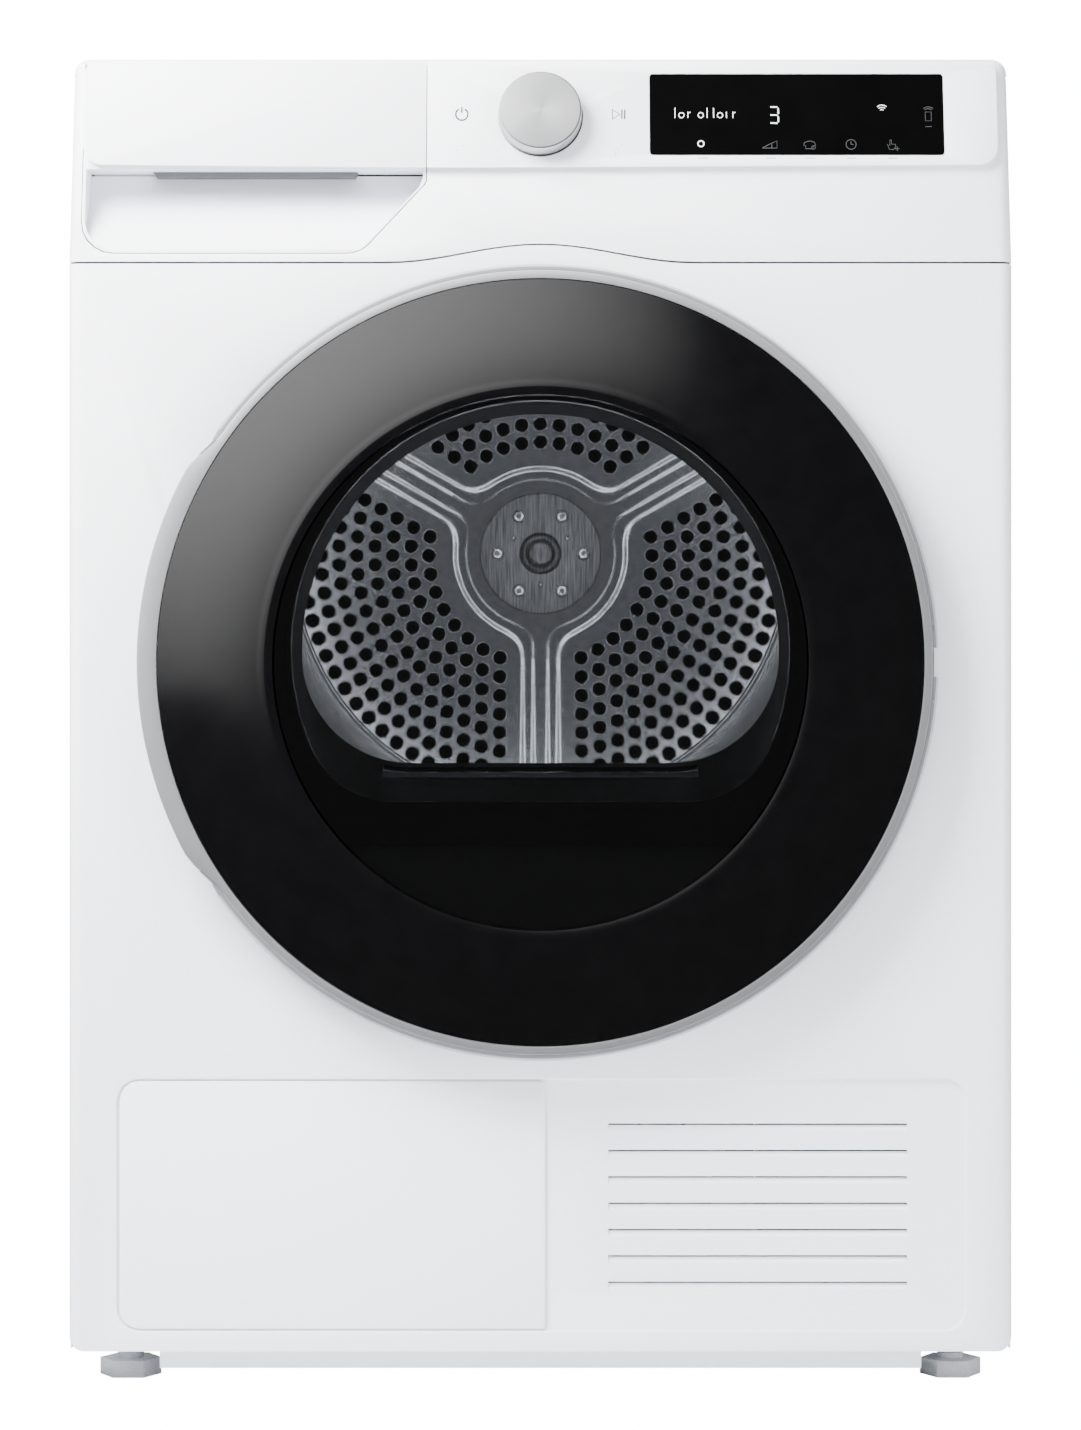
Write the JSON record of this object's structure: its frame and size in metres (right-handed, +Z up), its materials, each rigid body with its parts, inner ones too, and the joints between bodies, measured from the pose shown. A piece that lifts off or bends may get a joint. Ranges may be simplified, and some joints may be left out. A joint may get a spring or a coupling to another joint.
{
  "type": "clothes dryer",
  "caption": "Front-loading heat-pump clothes dryer with a round glazed door, turning drum, pull-out water tank, lint filter, hinged service flap, selector knob and screw feet.",
  "frame": {"origin": "on the floor, under the middle of the whole object's box", "axes": "+Z up, the door faces -Y, +X to the right when facing the door"},
  "size_m": [0.6, 0.65, 0.85],
  "materials": {
    "white_enamel": "smooth white enamel",
    "white_abs": "satin white moulded",
    "black_gloss": "high gloss black",
    "satin_silver": "satin silver coating",
    "brushed_aluminium": "spun brushed",
    "stainless_steel": "stamped stainless",
    "galvanised_steel": "galvanised sheet",
    "dark_plastic": "black moulded",
    "grey_plastic": "grey moulded",
    "tinted_glass": "smoked clear",
    "black_rubber": "matt",
    "grey_felt": "wool felt",
    "copper_tube": "drawn copper"
  },
  "bodies": {
    "root": {"base_tray": "grey_plastic", "side_panel_left": "white_enamel", "side_panel_right": "white_enamel", "back_panel": "galvanised_steel", "top_cover": "white_enamel", "front_panel": "white_enamel", "control_panel": "white_abs", "display_window": "black_gloss", "control_board_box": "dark_plastic", "tank_tray": "grey_plastic", "hinge_bracket": "satin_silver", "latch_catch": "dark_plastic", "door_seal": "black_rubber", "door_tunnel": "dark_plastic", "front_bulkhead": "galvanised_steel", "drum_felt": "grey_felt", "rear_bulkhead": "galvanised_steel", "rear_bearing": "stainless_steel", "drive_belt": "black_rubber", "motor_housing": "galvanised_steel", "blower_housing": "dark_plastic", "exchanger_housing": "grey_plastic", "evaporator": "brushed_aluminium", "condenser": "brushed_aluminium", "compressor": "dark_plastic", "refrigerant_pipe": "copper_tube", "exchanger_cover": "white_abs", "drain_pump": "dark_plastic", "drum_lamp": "tinted_glass", "cord_gland": "dark_plastic"},
    "door": {"door_ring": "black_gloss", "door_trim": "satin_silver", "door_window": "tinted_glass", "door_glass": "tinted_glass", "door_inner_frame": "dark_plastic", "door_hook": "galvanised_steel", "hinge_leaf": "galvanised_steel"},
    "drum": {"drum_shell": "stainless_steel", "drum_back": "stainless_steel", "drum_hub": "stainless_steel", "drum_shaft": "stainless_steel", "drum_lifter_a": "grey_plastic", "drum_lifter_b": "grey_plastic", "drum_lifter_c": "grey_plastic"},
    "tank": {"tank_front": "white_abs", "tank_body": "grey_plastic"},
    "filter": {"lint_filter": "dark_plastic"},
    "flap": {"exchanger_flap": "white_abs"},
    "knob": {"selector_knob": "brushed_aluminium"},
    "rotor": {"motor_rotor": "stainless_steel", "blower_fan": "dark_plastic"},
    "idler": {"idler_pulley": "dark_plastic"},
    "roller_left": {"roller_left": "black_rubber"},
    "roller_right": {"roller_right": "black_rubber"},
    "latch_left": {"cover_latch_left": "grey_plastic"},
    "latch_right": {"cover_latch_right": "grey_plastic"},
    "foot_front_left": {"foot_front_left": "grey_plastic"},
    "foot_front_right": {"foot_front_right": "grey_plastic"},
    "foot_rear_left": {"foot_rear_left": "grey_plastic"},
    "foot_rear_right": {"foot_rear_right": "grey_plastic"}
  },
  "joints": [
    {"name": "door_hinge", "type": "hinge", "parent": "root", "child": "door", "pos_m": [0.243, -0.2925, 0.462], "axis": [0, 0, 1], "range_deg": [0, 130]},
    {"name": "drum_spin", "type": "hinge", "parent": "root", "child": "drum", "pos_m": [0, 0, 0.543], "axis": [0, 1, 0], "continuous": true},
    {"name": "rotor_spin", "type": "hinge", "parent": "root", "child": "rotor", "pos_m": [0.085, 0, 0.14], "axis": [0, 1, 0], "continuous": true},
    {"name": "idler_spin", "type": "hinge", "parent": "root", "child": "idler", "pos_m": [0.018, 0, 0.172], "axis": [0, 1, 0], "continuous": true},
    {"name": "roller_left_spin", "type": "hinge", "parent": "root", "child": "roller_left", "pos_m": [-0.16083, 0, 0.31331], "axis": [0, 1, 0], "continuous": true},
    {"name": "roller_right_spin", "type": "hinge", "parent": "root", "child": "roller_right", "pos_m": [0.16083, 0, 0.31331], "axis": [0, 1, 0], "continuous": true},
    {"name": "tank_slide", "type": "slide", "parent": "root", "child": "tank", "axis": [0, -1, 0], "range_m": [0, 0.4]},
    {"name": "filter_lift", "type": "slide", "parent": "root", "child": "filter", "axis": [0, 0, 1], "range_m": [0, 0.16]},
    {"name": "flap_hinge", "type": "hinge", "parent": "root", "child": "flap", "pos_m": [-0.132, -0.2742, 0.0396], "axis": [1, 0, 0], "range_deg": [0, 90]},
    {"name": "knob_turn", "type": "hinge", "parent": "root", "child": "knob", "pos_m": [0, -0.25664, 0.8108], "axis": [0, -0.9703, 0.2419], "continuous": true},
    {"name": "latch_left_turn", "type": "hinge", "parent": "root", "child": "latch_left", "pos_m": [-0.245, -0.259, 0.172], "axis": [0, 1, 0], "range_deg": [0, 90]},
    {"name": "latch_right_turn", "type": "hinge", "parent": "root", "child": "latch_right", "pos_m": [-0.05, -0.259, 0.172], "axis": [0, 1, 0], "range_deg": [-90, 0]},
    {"name": "foot_front_left_screw", "type": "slide", "parent": "root", "child": "foot_front_left", "axis": [0, 0, -1], "range_m": [0, 0.015]},
    {"name": "foot_front_right_screw", "type": "slide", "parent": "root", "child": "foot_front_right", "axis": [0, 0, -1], "range_m": [0, 0.015]},
    {"name": "foot_rear_left_screw", "type": "slide", "parent": "root", "child": "foot_rear_left", "axis": [0, 0, -1], "range_m": [0, 0.015]},
    {"name": "foot_rear_right_screw", "type": "slide", "parent": "root", "child": "foot_rear_right", "axis": [0, 0, -1], "range_m": [0, 0.015]}
  ],
  "couplings": [
    {"joint": "rotor_spin", "follows": "drum_spin", "ratio": 26.2},
    {"joint": "idler_spin", "follows": "drum_spin", "ratio": -14.556},
    {"joint": "roller_left_spin", "follows": "drum_spin", "ratio": -14.556},
    {"joint": "roller_right_spin", "follows": "drum_spin", "ratio": -14.556}
  ]
}
